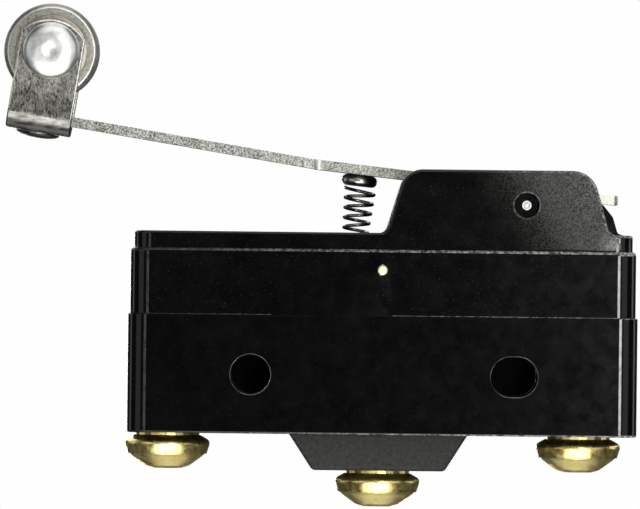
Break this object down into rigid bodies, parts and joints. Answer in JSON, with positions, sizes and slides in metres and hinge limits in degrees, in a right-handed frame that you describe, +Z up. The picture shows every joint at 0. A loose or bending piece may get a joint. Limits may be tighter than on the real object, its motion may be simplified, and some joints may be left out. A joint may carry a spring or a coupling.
{
  "type": "limit switch",
  "caption": "Snap-action limit switch with a sprung roller lever, moulded housing and brass screw terminals.",
  "frame": {"origin": "midway between the two mounting-hole axes, on the rear mounting face", "axes": "+X along the body away from the roller, +Y from the front face to the rear face, +Z up from the terminals to the lever"},
  "size_m": [0.0615, 0.0174, 0.0484],
  "materials": {
    "moulding": "satin black phenolic moulding",
    "steel": "stamped stainless steel, fine grain",
    "bright_steel": "polished rivet head",
    "brass": "bright brass",
    "dark_steel": "blackened spring steel",
    "pale_plastic": "plain",
    "copper_alloy": "rolled spring copper alloy",
    "contact_silver": "plain silver contact"
  },
  "bodies": {
    "housing": {"base": "moulding", "blade_clamp": "brass", "blade_rivet": "brass", "coil_spring": "dark_steel", "common_cup_washer": "brass", "common_screw": "brass", "common_terminal": "brass", "cover": "moulding", "cover_pin_front": "brass", "cover_pin_rear": "brass", "nc_contact": "contact_silver", "nc_cup_washer": "brass", "nc_screw": "brass", "nc_terminal": "brass", "no_contact": "contact_silver", "no_cup_washer": "brass", "no_screw": "brass", "no_terminal": "brass", "pivot_pin": "steel", "plunger_guide": "pale_plastic"},
    "lever": {"lever": "steel", "roller_fork": "steel", "fork_rivet": "steel", "roller_axle": "bright_steel", "roller_washer_front": "steel", "roller_washer_rear": "steel", "spring_button": "dark_steel"},
    "roller": {"roller": "steel", "roller_bush": "brass"},
    "plunger": {"plunger": "pale_plastic"},
    "blade": {"snap_blade": "copper_alloy", "snap_tongue": "copper_alloy", "moving_contact": "contact_silver"}
  },
  "joints": [
    {"name": "lever_hinge", "type": "hinge", "parent": "housing", "child": "lever", "pos_m": [0.01375, -0.00873, 0.01655], "axis": [0, -1, 0], "range_deg": [0, 12], "stiffness_Nm_per_rad": 0.08, "springref_deg": -20.05, "deforming": ["coil_spring"]},
    {"name": "roller_spin", "type": "hinge", "parent": "lever", "child": "roller", "pos_m": [-0.03234, -0.00873, 0.03102], "axis": [0, -1, 0], "continuous": true},
    {"name": "plunger_slide", "type": "slide", "parent": "housing", "child": "plunger", "axis": [0, 0, -1], "range_m": [0, 0.00042]},
    {"name": "blade_swing", "type": "hinge", "parent": "housing", "child": "blade", "pos_m": [-0.016, -0.00873, 0.0072], "axis": [0, 1, 0], "range_deg": [0, 1.75]}
  ],
  "couplings": [
    {"joint": "plunger_slide", "follows": "lever_hinge", "m_per_rad": 0.0019},
    {"joint": "blade_swing", "follows": "lever_hinge", "ratio": 0.1415}
  ]
}
